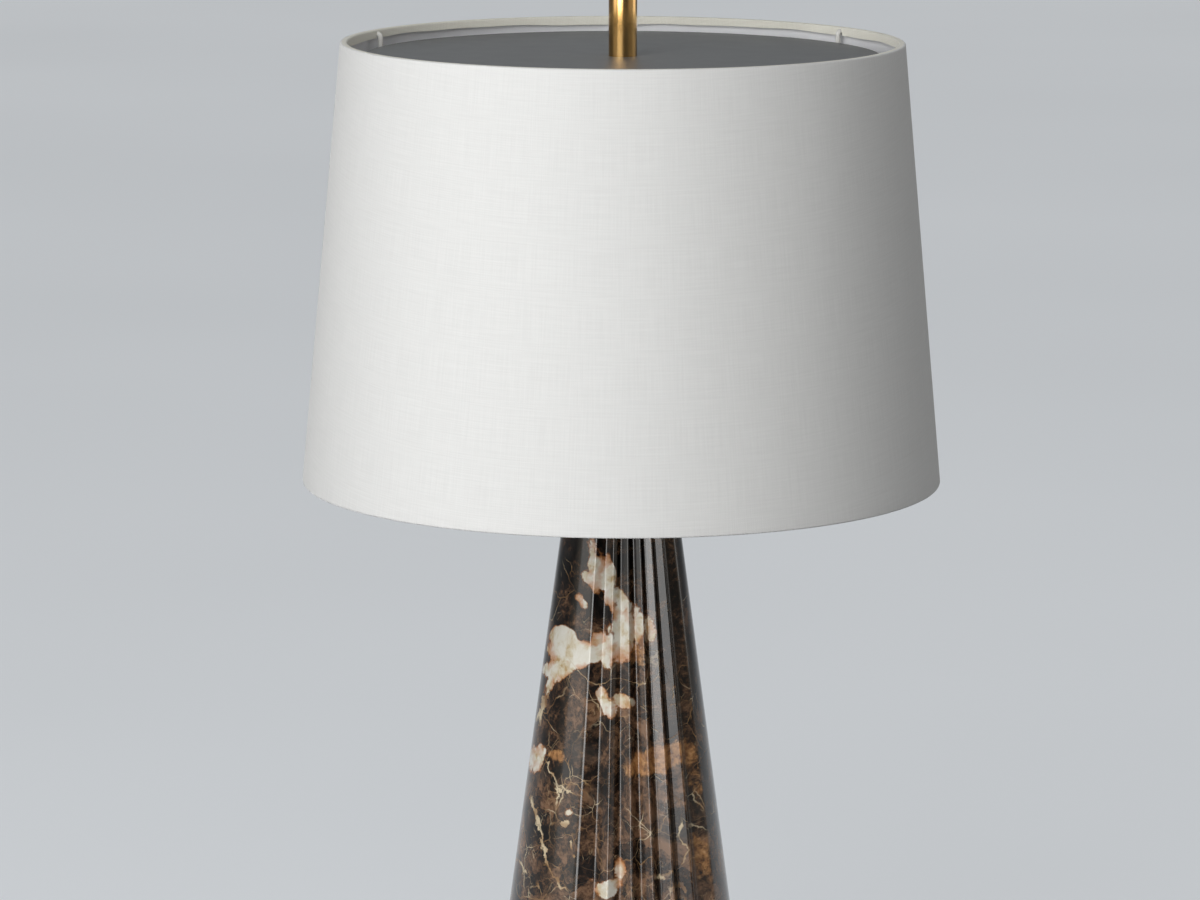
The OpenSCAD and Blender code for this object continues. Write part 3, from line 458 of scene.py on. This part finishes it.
metal = {"Metallic": 1.0}
finish = {
    # Wool felt, pressed: matt, fibrous and a little uneven
    "felt": grained("felt_wool_pressed", "#333733", "#474c46", (0.5, 0.5, 0.5), (0.95, 1.0), 0.15,
                    **{"Sheen Weight": 0.4, "Sheen Roughness": 0.6}),
    "marble": surface("marble_brown_breccia_polished", marble, IOR=1.6),
    # Zinc-plated steel, rolled and stamped: pale grey, with a cloudy half-gloss
    "zinc": grained("steel_zinc_plated", "#b3b6b9", "#cfd2d4", (0.8, 0.8, 0.8), (0.3, 0.42),
                    0.006, **metal),
    # Brass, turned from bar and left bare: level tool marks
    "brass_hardware": grained("brass_turned_bare", "#b08c52", "#caa766", (4.0, 4.0, 0.25),
                              (0.28, 0.4), 0.008, **metal),
    # Nylon, moulded: black with a fine spark-eroded grain
    "bushing_plastic": grained("nylon_black_moulded", "#1b1b1b", "#262626", (0.3, 0.3, 0.3),
                               (0.45, 0.6), 0.02, IOR=1.53),
    # Cork, ground and pressed: light and dark grains about 1.5 mm wide
    "cork": grained("cork_pressed", "#7d5b3a", "#b58f66", (1.5, 1.5, 1.5), (0.85, 0.95), 0.2, 2.0),
    "satin_brass": surface("brass_brushed_lacquered", brushed("#dca75c", "#f2ca84",
                                                              (0.13, 0.2)), **metal,
                           **{"Coat Weight": 0.8, "Coat Roughness": 0.1}),
    # Brass sheet, drawn on a press: level draw lines
    "holder_brass": grained("brass_sheet_drawn", "#b48f55", "#cfac6d", (5.0, 5.0, 0.4),
                            (0.24, 0.36), 0.006, **metal),
    # Vulcanised fibre, rolled: tan card with long fibres
    "paper_fibre": grained("fibre_card_rolled", "#b39c76", "#cdb892", (2.0, 2.0, 0.3),
                           (0.75, 0.9), 0.04),
    # Phenolic, compression moulded: near black, half gloss
    "phenolic": grained("phenolic_black_moulded", "#171615", "#242220", (0.4, 0.4, 0.4),
                        (0.3, 0.42), 0.01, IOR=1.55),
    "knob_plastic": grained("phenolic_black_tumbled", "#1c1a18", "#2b2826", (0.4, 0.4, 0.4),
                            (0.4, 0.52), 0.015, IOR=1.55),
    # Thin brass, rolled to a thread: bright crests
    "shell_brass": grained("brass_thin_rolled", "#b79b66", "#d2b87f", (3.0, 3.0, 0.3),
                           (0.22, 0.34), 0.006, **metal),
    "contact_brass": grained("brass_spring_stamped", "#b99656", "#d5b26f", (0.3, 3.0, 3.0),
                             (0.25, 0.35), 0.005, **metal),
    "screw_brass": grained("brass_screw_machined", "#b48e4e", "#d0aa64", (3.0, 0.3, 0.3),
                           (0.2, 0.32), 0.006, **metal),
    # Solder, tinned by hand: dull silver with soft dimples
    "solder": grained("solder_tinned", "#a3a5a8", "#c4c6c9", (1.2, 1.2, 1.2), (0.35, 0.5), 0.08,
                      2.0, **metal),
    # Glass insulator, fused: black and shiny
    "vitrite": grained("glass_black_fused", "#0b0b10", "#17171f", (1.5, 1.5, 1.5), (0.12, 0.2),
                       0.02, 2.0, IOR=1.52),
    # Nickel-plated aluminium, thread rolled
    "cap_metal": grained("aluminium_nickel_rolled", "#bfc0c1", "#d8d9da", (3.0, 3.0, 0.3),
                         (0.22, 0.36), 0.006, **metal),
    # ABS, moulded: white with a fine grain
    "bulb_plastic": grained("abs_white_moulded", "#e2e1da", "#ebeae4", (0.4, 0.4, 0.4),
                            (0.42, 0.52), 0.01, IOR=1.53),
    # Opal polycarbonate, blown: milky with a soft gloss
    "opal": grained("polycarbonate_opal_blown", "#e9e8e2", "#f0efea", (8.0, 8.0, 8.0),
                    (0.3, 0.38), 0.01, 2.0, IOR=1.58, **{"Subsurface Weight": 0.25,
                                                        "Subsurface Scale": 0.004}),
    # Spring wire, brass plated: drawn lengthwise
    "harp_brass": grained("steel_wire_brass_plated", "#ab8646", "#c8a25e", (0.4, 0.4, 6.0),
                          (0.24, 0.36), 0.005, **metal),
    "ferrule_brass": grained("brass_sleeve_pressed", "#b18b4b", "#cea766", (0.4, 0.4, 4.0),
                             (0.24, 0.36), 0.005, **metal),
    # Powder coat, baked on steel wire: white with a faint orange peel
    "white_wire": grained("powder_coat_white", "#e3e2dd", "#eeede9", (1.2, 1.2, 1.2),
                          (0.38, 0.5), 0.05, 2.0, IOR=1.5),
    # Styrene sheet, extruded: cool white with a low gloss. Its white is lighter than the sheet's
    # own: painted light that offsets the shade the hem and rim cast on the liner
    "styrene": grained("styrene_white_painted_light", "#f8f9fc", "#fbfcfe", (3.0, 3.0, 30.0),
                       (0.32, 0.42), 0.004, 2.0, IOR=1.59),
    "linen": surface("linen_white_laminated", linen("#e8e8e6", "#eeeeec"), Roughness=0.92,
                     **{"Sheen Weight": 0.3, "Sheen Roughness": 0.5}),
    # The hems are the same linen, a little warmer, and lighter than the outside's linen: painted
    # light for the light that reaches the shade's inside through the cloth
    "hem_linen": surface("linen_white_hem_painted_light", linen("#efede0", "#f6f4e8"), Roughness=0.95,
                         **{"Sheen Weight": 0.2, "Sheen Roughness": 0.5}),
    # Acrylic sheet, sand-frosted, with an even fine grain. Its grey is painted shade: the dark
    # inside of the unlit shade, seen through the sheet
    "diffuser": grained("acrylic_frosted_grey_painted_shade", "#66686a", "#717476", (0.5, 0.5, 0.5),
                        (0.38, 0.48), 0.008, IOR=1.49),
}


def board(tree):
    """Circuit board under white lacquer, with emitters of yellow phosphor that stand on it."""
    place = add(tree, "TexCoord", out="Object")
    speck = add(tree, "TexNoise", {"Vector": place, "Scale": 900.0, "Detail": 3.0}, out="Fac")
    lacquer = add(tree, "ValToRGB", {0: speck}, stops=[(0.35, "#dfe2df"), (0.65, "#ebeeeb")])
    phosphor = add(tree, "ValToRGB", {0: speck}, stops=[(0.35, "#d9c34a"), (0.65, "#e8d66a")])
    # The board's face is at 0.569 m, and what stands above it is an emitter
    height = add(tree, "SeparateXYZ", {0: place}, out="Z")
    on_top = add(tree, "MapRange", {0: height, 1: 0.5689, 2: 0.5691})
    return {
        "Base Color": add(tree, "Mix", {0: on_top, 6: lacquer, 7: phosphor}, out=2,
                          data_type="RGBA"),
        "Roughness": add(tree, "MapRange", {0: speck, 3: 0.25, 4: 0.4}),
        "relief": add(tree, "Math", {0: speck, 1: 0.01}, operation="MULTIPLY"),
    }


finish["board"] = surface("board_white_lacquer", board, IOR=1.5)

for row in frame["record"]["subparts"]:
    node = frame["nodes"][row["node"]]
    node.data.materials.clear()
    node.data.materials.append(finish[row["material_slot"]])


# ---------------------------------------------------------------- stone

def plan_outline():
    """The stone's outline in plan, for a foot radius of 1.

    Ridges lie on the circle and valleys at the share VALLEY of it, midway between them. Both
    are eased over EASED of the radius to either side, a flute's walls are flat between, with a
    point just past each easing so that they also shade flat, and the plain stretches are arcs.
    """
    points, cuts = [], []
    for turn in (0.0, 180.0):
        ridges = RIDGES + turn
        angles = np.empty(2 * len(ridges) - 1)
        angles[0::2], angles[1::2] = ridges, (ridges[1:] + ridges[:-1]) / 2
        radii = np.ones(len(angles))
        radii[1::2] = VALLEY
        angles = np.radians(angles)
        corners = np.stack([radii * np.sin(angles), -radii * np.cos(angles)], 1)
        for k, corner in enumerate(corners):
            near = [] if k == 0 else [corners[k - 1] - corner]
            far = [] if k == len(corners) - 1 else [corners[k + 1] - corner]
            steps = [v / np.linalg.norm(v) * (EASED + PAST_EASING) for v in near + far]
            row = [corner + v for v in steps[:len(near)]] + [corner]
            row += [corner + v for v in steps[len(near):]]
            points += row
            cuts += [0.0] * len(near) + [EASED] + [0.0] * len(far)
        plain = np.radians(np.arange(ridges[-1] + 2.6, ridges[0] + 178.0, 2.0))
        points += list(np.stack([np.sin(plain), -np.cos(plain)], 1))
        cuts += [0.0] * len(plain)
    return rounded(points, cuts, steps=7)


def fluted_stone():
    """Every level of the stone is its plan outline times a radius; the bore, the pocket and
    the flat faces blend that outline into a circle at the same plan angles."""
    outline = plan_outline()
    circle = outline / np.linalg.norm(outline, axis=1)[:, None]
    ease = STONE_EDGE
    turn = np.linspace(0, np.pi / 2, 6)
    n = len(turn) - 1
    # The levels lie closer together where the patches are drawn one by one
    drawn_low, plain_levels, drawn_levels = 172, 28, 142
    side = np.concatenate([np.linspace(STONE_LOW + ease, drawn_low, plain_levels, endpoint=False),
                           np.linspace(drawn_low, STONE_TOP - ease, drawn_levels)])
    z = np.concatenate([STONE_LOW + ease * (1 - np.cos(turn[:-1])), side,
                        STONE_TOP - ease * (1 - np.sin(turn[1:]))])
    r = TAPER * (APEX - z)
    r[:n] -= ease * (1 - np.sin(turn[:-1]))
    r[-n:] -= ease * (1 - np.cos(turn[1:]))
    levels = [(a, b, 1.0) for a, b in zip(r, z)]
    levels += [(BORE_R, STONE_TOP, 0.0), (BORE_R, POCKET_TOP, 0.0), (POCKET_R, POCKET_TOP, 0.0),
               (POCKET_R, STONE_LOW, 0.0)]
    grid = np.concatenate([np.hstack([radius * (outline if share else circle),
                                      np.full((len(outline), 1), height)])
                           for radius, height, share in levels])
    values = {"cream": depth_inside(grid, CREAM, 1.6), "tan": depth_inside(grid, TAN, 1.0)}
    return piece("fluted_stone", grid, net(len(levels), len(outline), True).tolist(),
                 finish["marble"], sharp=STONE_SHARP, values=values)


def carve(stone, tool):
    """Cuts the tool's shape out of the stone for good and throws the tool away."""
    cut = stone.modifiers.new("cut", "BOOLEAN")
    cut.operation, cut.solver, cut.object = "DIFFERENCE", "EXACT", tool
    carved = bpy.data.meshes.new_from_object(
        stone.evaluated_get(bpy.context.evaluated_depsgraph_get()))
    stone.modifiers.clear()
    stone.data = carved
    carved.shade_smooth()
    carved.set_sharp_from_angle(angle=math.radians(STONE_SHARP))
    bpy.data.objects.remove(tool)


stone = fluted_stone()
way = turned("cord_way", [(0, WAY_START), (CHANNEL_R, WAY_START), (CHANNEL_R, INLET_SEAT_Y),
                          (SEAT_R, INLET_SEAT_Y), (SEAT_R, WAY_END), (0, WAY_END)],
             finish["marble"], 96)
way.data.transform(Matrix.Translation((0, 0, INLET_Z * MM)) @ Matrix.Rotation(
    -math.pi / 2, 4, "X"))
carve(stone, way)
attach(stone, "base")
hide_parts("stone_body")

# ---------------------------------------------------------------- shade


def cloth_angles():
    """Plan angles all round the shade, closer together beside each arm and at the seam."""
    fine = [np.radians(a) + np.linspace(-0.014, 0.014, 29) for a in ARMS]
    seam = np.pi + np.linspace(-0.05, 0.05, 41)
    even = np.linspace(0, 2 * np.pi, 480, endpoint=False)
    return np.unique(np.round(np.concatenate([*fine, seam, even]) % (2 * np.pi), 5))


def linen_cover():
    """The linen in section, carried round the shade as one cloth.

    Its middle line runs from the edge of the upper hem up, over the upper ring, down the
    outside, under the lower ring and up to the edge of the lower hem. Each point is set half the
    cloth's thickness to either side. Beside an arm the upper hem is notched, and at the back
    the cloth laps over itself, which lifts the outside a little.
    """
    a = cloth_angles()
    half, fold = CLOTH / 2, 0.9
    out_top, out_low = SHADE_TOP_R - half, SHADE_LOW_R - half
    corners = [(HEM_TOP_R, SHADE_TOP - HEM), (HEM_TOP_R, SHADE_TOP - half),
               (out_top, SHADE_TOP - half), (out_low, SHADE_LOW + half),
               (HEM_LOW_R, SHADE_LOW + half), (HEM_LOW_R, SHADE_LOW + HEM)]
    line = rounded(corners, [0, fold, fold, fold, fold, 0], 6, loop=False)
    # Points along the long outer face, so that it can ripple
    k = int(np.argmax(np.linalg.norm(np.diff(line, axis=0), axis=1)))
    t = np.linspace(0, 1, 42)[1:-1, None]
    line = np.vstack([line[:k + 1], line[k] * (1 - t) + line[k + 1] * t, line[k + 1:]])
    along = np.concatenate([[0], np.cumsum(np.linalg.norm(np.diff(line, axis=0), axis=1))])
    step = np.gradient(line, along, axis=0)
    normal = np.stack([step[:, 1], -step[:, 0]], 1)
    normal /= np.linalg.norm(normal, axis=1)[:, None]
    outer, inner = line - half * normal, line + half * normal
    loop = np.vstack([outer, inner[::-1]])
    reach = np.concatenate([along, along[::-1]])
    faces_out = np.arange(len(loop)) < len(outer)
    r = np.repeat(loop[:, :1], len(a), 1)
    z = np.repeat(loop[:, 1:], len(a), 1)
    # Hems: their edges wander, and the upper one is notched round the arms. Both stay in place
    # near the rim.
    rim, notch_half, notch_slope = 1.2, 2.1, 0.5
    wander = 0.35 * np.sin(5 * a + 1) + 0.25 * np.sin(11 * a) + 0.15 * np.sin(23 * a + 2)
    beside = np.min([np.abs((a - np.radians(p) + np.pi) % (2 * np.pi) - np.pi)
                     for p in ARMS], axis=0) * HEM_TOP_R
    notch = np.clip((notch_half - beside) / notch_slope, 0, 1) * (HEM - rim)
    hem_share = np.clip((SHADE_TOP - rim - z) / (HEM - rim), 0, 1) * (r < HEM_TOP_R + 1)
    z = z + hem_share * (wander + notch)
    low_share = np.clip((z - SHADE_LOW - rim) / (HEM - rim), 0, 1) * (
        (r < HEM_LOW_R + 1) & (z < SHADE_LOW + 2 * HEM))
    z = z + low_share * np.roll(wander, 60)
    # Skin: a slow ripple of the stiff cloth, and the lap at the back
    height = np.clip((z - SHADE_LOW) / (SHADE_TOP - SHADE_LOW), 0, 1)
    belly = np.sin(np.pi * height) ** 0.5 * (r > HEM_LOW_R - 30) * (reach[:, None] > 12)
    ripple = 0.10 * np.sin(7 * a + 2.1 * height) + 0.07 * np.sin(13 * a - 3.3 * height + 1)
    skin = (reach[:, None] > HEM + 1) & (reach[:, None] < along[-1] - HEM - 1)
    lap_half, lap_slope, lap_lift, middle_r = 7.5, 1.2, 0.45, 190
    lap = np.clip((lap_half - np.abs(a - np.pi) * middle_r) / lap_slope, 0, 1)
    lap = lap_lift * lap ** 2 * (3 - 2 * lap) * (skin & faces_out[:, None])
    r = r + ripple * belly * skin + lap
    points = np.stack([r * np.sin(a), -r * np.cos(a), z], -1).reshape(-1, 3)
    faces = net(len(loop), len(a), True)
    # The flat cut: the cone unrolled, so that a thread stays straight on the cloth
    sine = SHADE_SLOPE / math.hypot(1, SHADE_SLOPE)
    slant = SHADE_LOW_R / sine + SHADE_TOP - SHADE_LOW - reach
    around = (a - 2 * np.pi * (a > np.pi)) * sine
    seam_column = int(np.argmax(a > np.pi)) - 1
    rows, columns = len(loop), len(a)
    row = np.repeat(np.arange(rows), columns)
    column = np.tile(np.arange(columns), rows)
    next_row, next_column = (row + 1) % rows, (column + 1) % columns
    turn_a = around[column]
    turn_b = np.where(column == seam_column, around[next_column] + 2 * np.pi * sine,
                      around[next_column])
    corner_r = np.stack([slant[row], slant[row], slant[next_row], slant[next_row]], 1)
    corner_a = np.stack([turn_a, turn_b, turn_b, turn_a], 1)
    uv = np.stack([corner_r * np.sin(corner_a), corner_r * np.cos(corner_a)], -1) * MM
    cover = piece("linen_cover", points, faces.tolist(), finish["linen"], uv, sharp=60.0)
    cover.data.materials.append(finish["hem_linen"])
    # Both hems, up to the middle of the fold over the rim, have the hem's finish, whose lighter
    # tone is painted light
    over = HEM + 0.6
    inside = ((reach < over) | (reach > along[-1] - over))[row]
    cover.data.polygons.foreach_set("material_index", inside.astype(np.int32))
    return cover


cover = linen_cover()
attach(cover, "shade")
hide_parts("shade_linen", "shade_top_hem", "shade_bottom_hem")

# Disc: the finial holds it down in the middle, so its edge stands 0.5 mm higher
DISC_R, DISC_HOLE_R, DISC_LOW, DISC_TOP, DISH = 163.0, 3.6, 712.2, 715.16, 0.5
across = np.array([20.0, 45.0, 70.0, 95.0, 120.0, 145.0])
lift = DISH * (across / DISC_R) ** 2
disc_line = [(DISC_HOLE_R, DISC_LOW), *zip(across, DISC_LOW + lift), (DISC_R, DISC_LOW + DISH),
             (DISC_R, DISC_TOP + DISH), *zip(across[::-1], (DISC_TOP + lift)[::-1]),
             (DISC_HOLE_R, DISC_TOP)]
disc = turned("frosted_disc", rounded(disc_line, [0.3, *[0] * 6, 0.5, 0.5, *[0] * 6, 0.3]),
              finish["diffuser"], 256)
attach(disc, "diffuser")
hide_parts("diffuser_disc")

# ---------------------------------------------------------------- turned pieces

FINIAL_R, FINIAL_BORE_R, FINIAL_TOP = 9.0, 7.8, 790.16
tube = turned("finial_sleeve", rounded(
    [(FINIAL_BORE_R, DISC_TOP), (FINIAL_R, DISC_TOP), (FINIAL_R, FINIAL_TOP),
     (FINIAL_BORE_R, FINIAL_TOP)], [0.1, 0.15, 1.0, 0.2]), finish["satin_brass"], 192)
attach(tube, "finial")
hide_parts("finial_tube")

FELT_R = 90.5
felt = turned("felt_sole", rounded([(0, 0), (FELT_R, 0), (FELT_R, STONE_LOW), (0, STONE_LOW)],
                                   [0, 0.8, 0.5, 0]), finish["felt"], 192)
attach(felt, "base")
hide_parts("felt_pad")

# Neck: the cap has an upright edge and a domed top, and the collar a bead round its middle
NECK_BORE_R = 5.05
CAP_R, CAP_FLAT_R, CAP_LOW, CAP_EDGE, CAP_TOP = 26, 12, 458.5, 460.5, 464.5
COLLAR_R, COLLAR_TOP, BEAD_R = 9.0, 474.5, 1.4
bend = np.linspace(0, np.pi / 2, 16)
cap = turned("neck_shoulder", np.vstack([
    [(NECK_BORE_R, CAP_LOW), (CAP_R, CAP_LOW), (CAP_R, CAP_EDGE)],
    np.stack([CAP_FLAT_R + (CAP_R - CAP_FLAT_R) * np.cos(bend[1:]),
              CAP_EDGE + (CAP_TOP - CAP_EDGE) * np.sin(bend[1:])], 1),
    [(NECK_BORE_R, CAP_TOP)]]), finish["satin_brass"], 160)
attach(cap, "base")
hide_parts("neck_cap")

bead = np.linspace(-np.pi / 2, np.pi / 2, 24)
collar = turned("neck_ring", np.vstack([
    [(NECK_BORE_R, CAP_TOP), (COLLAR_R, CAP_TOP)],
    np.stack([COLLAR_R + BEAD_R * np.cos(bead),
              (CAP_TOP + COLLAR_TOP) / 2 + BEAD_R * np.sin(bead)], 1),
    [(COLLAR_R, COLLAR_TOP), (NECK_BORE_R, COLLAR_TOP)]]), finish["satin_brass"], 128)
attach(collar, "base")
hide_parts("neck_collar")

# Opal globe: an open sphere of one wall, from its rim in the housing up to its crown. Its
# middle's height, its radius and wall, and the rim's height, drop below the middle and radii.
GLOBE_Z, GLOBE_R, GLOBE_WALL = 576.47, 30.0, 1.2
RIM_Z, RIM_DROP, RIM_IN_R, RIM_OUT_R = 567.1, 9.37, 27.2, 28.5
arc = np.linspace(np.arcsin(-RIM_DROP / GLOBE_R), np.pi / 2, 40)[:-1]
shell = [np.stack([r * np.cos(arc), GLOBE_Z + r * np.sin(arc)], 1)
         for r in (GLOBE_R - GLOBE_WALL, GLOBE_R)]
globe = turned("opal_globe", np.vstack([
    [(0, GLOBE_Z + GLOBE_R - GLOBE_WALL)], shell[0][:0:-1],
    [(RIM_IN_R, RIM_Z), (RIM_OUT_R, RIM_Z)], shell[1][1:],
    [(0, GLOBE_Z + GLOBE_R)]]), finish["opal"], 128)
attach(globe, "bulb")
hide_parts("bulb_globe")

# ---------------------------------------------------------------- studio


def lamp(name, place, aim, size, watts):
    """A soft white rectangular lamp that faces a point; places and sizes are in metres."""
    data = bpy.data.lights.new(name, "AREA")
    data.shape, data.size, data.size_y = "RECTANGLE", size[0], size[1]
    data.energy = watts
    made = bpy.data.objects.new(name, data)
    bpy.context.scene.collection.objects.link(made)
    away = np.array(place) - np.array(aim)
    flat = math.hypot(away[0], away[1])
    made.rotation_euler = (math.atan2(flat, away[2]), 0, math.atan2(away[0], -away[1]))
    made.location = place


lamp("window", (-1.23, -2.41, 1.28), (0, 0, 0.75), (1.6, 2.5), 60)
lamp("window_jamb", (-0.2, -2.69, 1.28), (0, 0, 0.75), (0.3, 2.5), 7)
lamp("softbox_left", (-2.43, -1.18, 1.25), (0, 0, 0.8), (1.4, 2.4), 10)
lamp("softbox_right", (2.41, 0.65, 1.4), (0, 0, 0.7), (1.6, 2.6), 11)

# The studio's walls by plan angle: grey behind the lamp, dark on either side of that, pale and
# warm to the left and right of the camera, and black in a strip just right of it
WALLS = [(-180, "#a6a9ac"), (-168, "#c4c7ca"), (-154, "#7c7f82"), (-138, "#45474a"),
         (-95, "#45474a"), (-82, "#c4beb2"), (-30, "#d8d2c6"), (-1, "#c0bcb4"), (6, "#101010"),
         (36, "#101010"), (56, "#bab2a4"), (108, "#bab2a4"), (132, "#45474a"),
         (154, "#505356"), (168, "#74777a"), (180, "#a6a9ac")]


def seen_rays(tree):
    """1 for what the camera sees, directly, in a reflection or through a clear piece."""
    rays = tree.nodes.new("ShaderNodeLightPath").outputs
    seen = add(tree, "Math", {0: rays["Is Camera Ray"], 1: rays["Is Glossy Ray"]},
               operation="MAXIMUM")
    return add(tree, "Math", {0: seen, 1: rays["Is Transmission Ray"]}, operation="MAXIMUM")


def wall_tone(tree, toward):
    """The tone of the studio's wall in a plan direction from the lamp."""
    right = add(tree, "SeparateXYZ", {0: toward}, out="X")
    back = add(tree, "SeparateXYZ", {0: toward}, out="Y")
    front = add(tree, "Math", {0: back, 1: -1.0}, operation="MULTIPLY")
    angle = add(tree, "Math", {0: right, 1: front}, operation="ARCTAN2")
    share = add(tree, "MapRange", {0: angle, 1: -math.pi, 2: math.pi})
    return add(tree, "ValToRGB", {0: share},
               stops=[((a + 180) / 360, tone) for a, tone in WALLS])


def floor_paint(tree):
    """Matt studio floor, pale grey, a little uneven, which glows a little for what sees it.

    In reflections its far part takes on the tones of the walls that stand on it, at half
    strength, and it lights the lamp as a darker floor than the camera sees.
    """
    place = add(tree, "TexCoord", out="Object")
    cloud = add(tree, "TexNoise", {"Vector": place, "Scale": 0.6, "Detail": 2.0}, out="Fac")
    colour = add(tree, "ValToRGB", {0: cloud}, stops=[(0.2, "#9fa2a5"), (0.8, "#a4a7aa")])
    far = add(tree, "VectorMath", {0: place}, out="Value", operation="LENGTH")
    near_end, far_start = 1.2, 3.2
    far = add(tree, "MapRange", {0: far, 1: near_end, 2: far_start})
    direct = tree.nodes.new("ShaderNodeLightPath").outputs["Is Camera Ray"]
    mirrored = add(tree, "Math", {0: 1.0, 1: direct}, operation="SUBTRACT")
    share = add(tree, "Math", {0: far, 1: mirrored}, operation="MULTIPLY")
    dim = add(tree, "Mix", {0: 0.5, 6: wall_tone(tree, place), 7: (0, 0, 0, 1)}, out=2,
              data_type="RGBA")
    shown = add(tree, "Mix", {0: share, 6: colour, 7: dim}, out=2, data_type="RGBA")
    seen = seen_rays(tree)
    glow = add(tree, "Math", {0: seen, 1: 1.15}, operation="MULTIPLY")
    bounce = add(tree, "Mix", {0: seen, 6: linear("#5c5e60"), 7: colour}, out=2,
                 data_type="RGBA")
    return {"Base Color": bounce, "Emission Color": shown, "Emission Strength": glow}


FLOOR = 40  # from the middle to each side, in metres
floor_mesh = bpy.data.meshes.new("floor")
floor_mesh.from_pydata([(-FLOOR, -FLOOR, 0), (FLOOR, -FLOOR, 0), (FLOOR, FLOOR, 0),
                        (-FLOOR, FLOOR, 0)], [], [(0, 1, 2, 3)])
floor = bpy.data.objects.new("floor", floor_mesh)
bpy.context.scene.collection.objects.link(floor)
floor_mesh.materials.append(surface("floor_matt", floor_paint, Roughness=0.9))

world = bpy.data.worlds.new("studio")
bpy.context.scene.world = world
world.use_nodes = True
sky = world.node_tree
sky.nodes.clear()
toward = add(sky, "TexCoord", out="Generated")
wall = wall_tone(sky, toward)
# The pale wall behind the lamp also lights its back
depth = add(sky, "SeparateXYZ", {0: toward}, out="Y")
level = add(sky, "MapRange", {0: depth, 1: -0.1, 2: 0.9, 3: 0.09, 4: 0.45})
light = add(sky, "Background", {"Color": linear("#fafbfc"), "Strength": level})
backdrop = add(sky, "Background", {"Color": wall, "Strength": 1.0})
mixed = add(sky, "MixShader", {0: seen_rays(sky), 1: light, 2: backdrop})
sky.links.new(mixed, sky.nodes.new("ShaderNodeOutputWorld").inputs["Surface"])

# The camera that took the photo, from the shade's two rims: its place in metres, how far it
# looks down and how far it is tilted in degrees, and its lens for a sensor 36 mm wide
EYE, LOOKS_DOWN, TILT, LENS = (-0.01364, -3.2070, 1.03033), 10.03, 0.154, 153.12
camera = bpy.data.objects.new("camera", bpy.data.cameras.new("camera"))
bpy.context.scene.collection.objects.link(camera)
camera.data.sensor_width, camera.data.lens = 36.0, LENS
camera.data.clip_start, camera.data.clip_end = 0.1, 200.0
camera.matrix_world = (Matrix.Translation(EYE)
                       @ Matrix.Rotation(math.radians(90 - LOOKS_DOWN), 4, "X")
                       @ Matrix.Rotation(math.radians(TILT), 4, "Z"))
bpy.context.scene.camera = camera
bpy.context.scene.view_settings.view_transform = "Standard"
